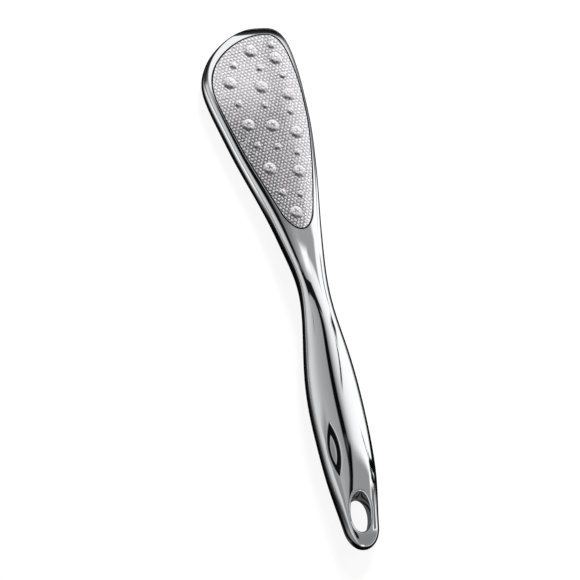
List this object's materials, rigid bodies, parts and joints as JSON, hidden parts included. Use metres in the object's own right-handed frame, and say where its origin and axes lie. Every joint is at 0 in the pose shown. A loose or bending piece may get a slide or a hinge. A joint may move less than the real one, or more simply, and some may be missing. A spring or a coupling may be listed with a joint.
{
  "type": "foot file",
  "caption": "Foot file: curved chrome two-shell handle and head, domed rasp plate on the face, flat fine plate on the back, oval hanging hole.",
  "frame": {"origin": "bottom centre of the bounding box, on the surface that the file lies on", "axes": "+Z out of the rasp face, +Y along the file from the handle's end to the head's tip, +X to the right as the rasp face is looked at with the tip up"},
  "size_m": [0.045, 0.25, 0.0135],
  "materials": {
    "chrome_shell": "bright chrome plating, mirror polished",
    "etched_steel": "etched micro-toothed steel sheet",
    "tape": "thin adhesive tape",
    "plain_steel": "plain steel"
  },
  "bodies": {
    "root": {"front_shell": "chrome_shell", "back_shell": "chrome_shell", "rasp_plate": "etched_steel", "rasp_plate_tape": "tape", "fine_plate": "etched_steel", "fine_plate_tape": "tape", "stiffener_bar": "plain_steel", "shell_screws": "plain_steel"}
  },
  "joints": []
}
